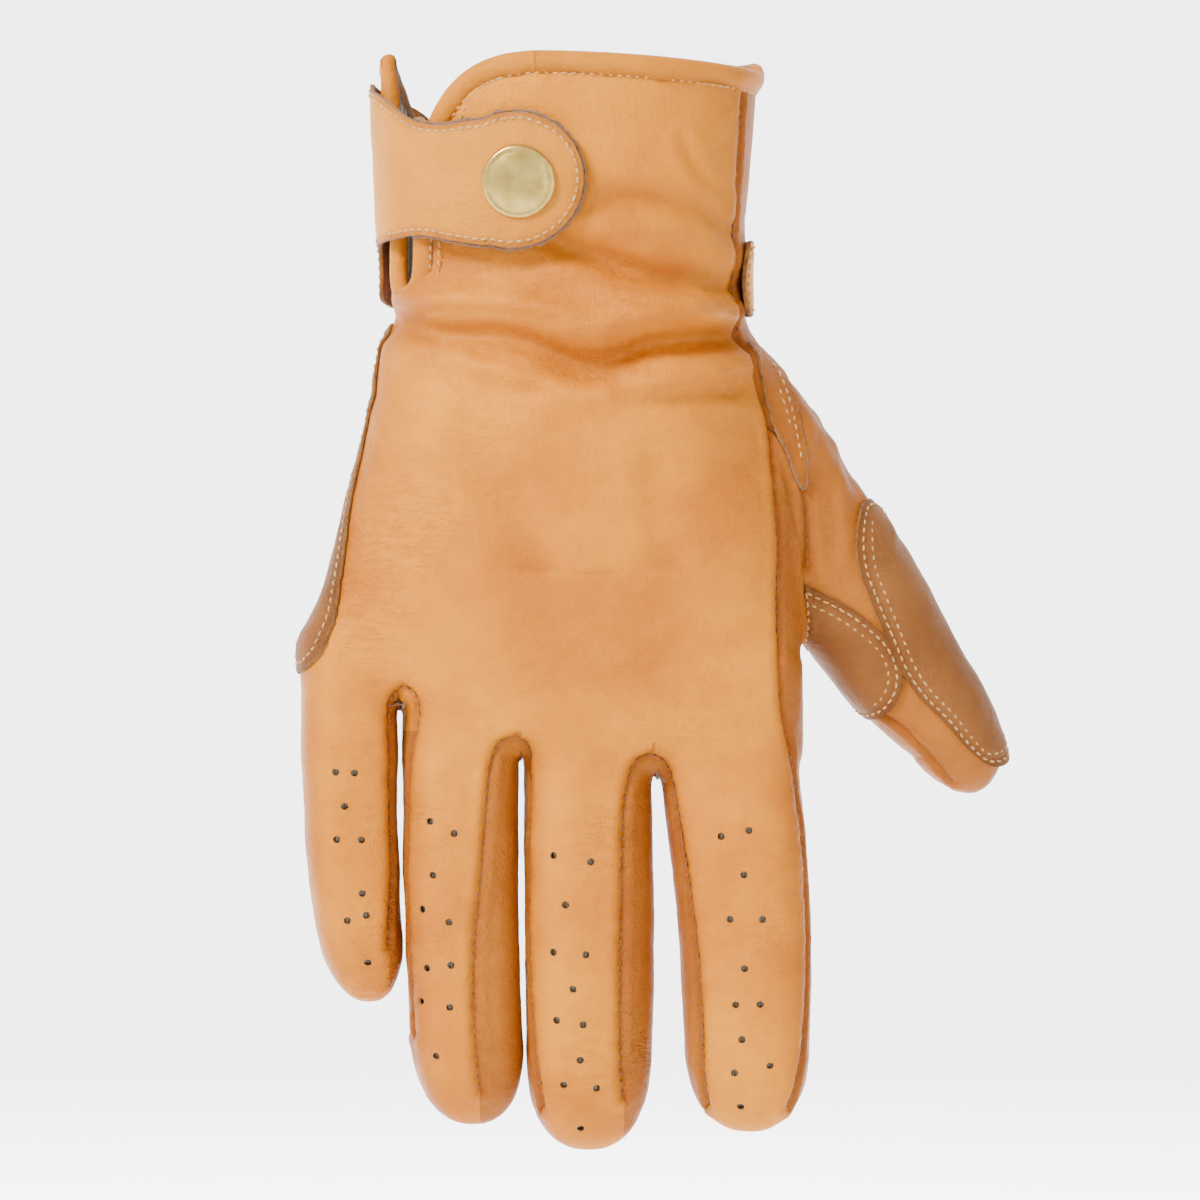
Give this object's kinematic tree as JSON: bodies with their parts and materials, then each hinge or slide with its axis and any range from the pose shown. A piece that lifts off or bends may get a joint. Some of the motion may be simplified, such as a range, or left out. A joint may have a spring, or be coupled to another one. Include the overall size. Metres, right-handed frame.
{
  "type": "leather dress glove",
  "caption": "Right-hand short-cuff leather glove with perforated fingers, a snap wrist strap over a side vent and stitched reinforcement patches.",
  "frame": {"origin": "centre of the wrist opening, at the top of the cuff's rolled hem", "axes": "+Z out of the wrist opening, fingers hang towards -Z; -Y is the back of the hand; +X is the thumb side"},
  "size_m": [0.142, 0.0547, 0.2245],
  "materials": {
    "leather_back": "semi-matt tan leather",
    "leather_palm": "semi-matt tan leather, slightly deeper",
    "leather_fourchette": "semi-matt tan leather, soft creases",
    "leather_patch": "tan leather with raw suede edges",
    "leather_roll": "rolled tan leather",
    "leather_strap": "tan leather with raw suede edges",
    "knit_lining": "fine pale knit",
    "brass_cap": "antique brushed brass",
    "brass_inner": "plain brass"
  },
  "bodies": {
    "hand": {"hand_back": "leather_back", "hand_palm": "leather_palm", "cuff_hem": "leather_roll", "vent_binding": "leather_roll", "thumb_base": "leather_palm", "thumb_saddle_patch": "leather_patch", "palm_heel_patch": "leather_patch", "thumb_heel_patch": "leather_patch", "strap_base": "leather_strap", "snap_stud": "brass_inner", "snap_eyelet": "brass_inner", "hand_lining": "knit_lining"},
    "index": {"index_back": "leather_back", "index_front": "leather_palm", "index_fourchette": "leather_fourchette", "index_lining": "knit_lining"},
    "middle": {"middle_back": "leather_back", "middle_front": "leather_palm", "middle_fourchette_index_side": "leather_fourchette", "middle_fourchette_ring_side": "leather_fourchette", "middle_lining": "knit_lining"},
    "ring": {"ring_back": "leather_back", "ring_front": "leather_palm", "ring_fourchette_little_side": "leather_fourchette", "ring_fourchette_middle_side": "leather_fourchette", "ring_lining": "knit_lining"},
    "little": {"little_back": "leather_back", "little_front": "leather_palm", "little_fourchette": "leather_fourchette", "little_lining": "knit_lining"},
    "thumb": {"thumb_back": "leather_back", "thumb_front": "leather_palm", "thumb_patch": "leather_patch", "thumb_lining": "knit_lining"},
    "strap": {"strap_flap": "leather_strap", "strap_backing": "leather_strap", "snap_cap": "brass_cap", "snap_socket": "brass_inner"}
  },
  "joints": [
    {"name": "index_flex", "type": "hinge", "parent": "hand", "child": "index", "pos_m": [0.032, 0.0128, -0.143], "axis": [1, 0, 0], "range_deg": [0, 70]},
    {"name": "middle_flex", "type": "hinge", "parent": "hand", "child": "middle", "pos_m": [0.003, 0.0128, -0.143], "axis": [1, 0, 0], "range_deg": [0, 70]},
    {"name": "ring_flex", "type": "hinge", "parent": "hand", "child": "ring", "pos_m": [-0.023, 0.0132, -0.1405], "axis": [1, 0, 0], "range_deg": [0, 70]},
    {"name": "little_flex", "type": "hinge", "parent": "hand", "child": "little", "pos_m": [-0.0457, 0.0131, -0.132], "axis": [1, 0, 0], "range_deg": [0, 70]},
    {"name": "thumb_flex", "type": "hinge", "parent": "hand", "child": "thumb", "pos_m": [0.06045, 0.02398, -0.11164], "axis": [0.8553, 0, 0.5182], "range_deg": [0, 45]},
    {"name": "strap_open", "type": "hinge", "parent": "hand", "child": "strap", "pos_m": [-0.0444, -0.003, -0.026], "axis": [0, 0, -1], "range_deg": [0, 140]}
  ]
}
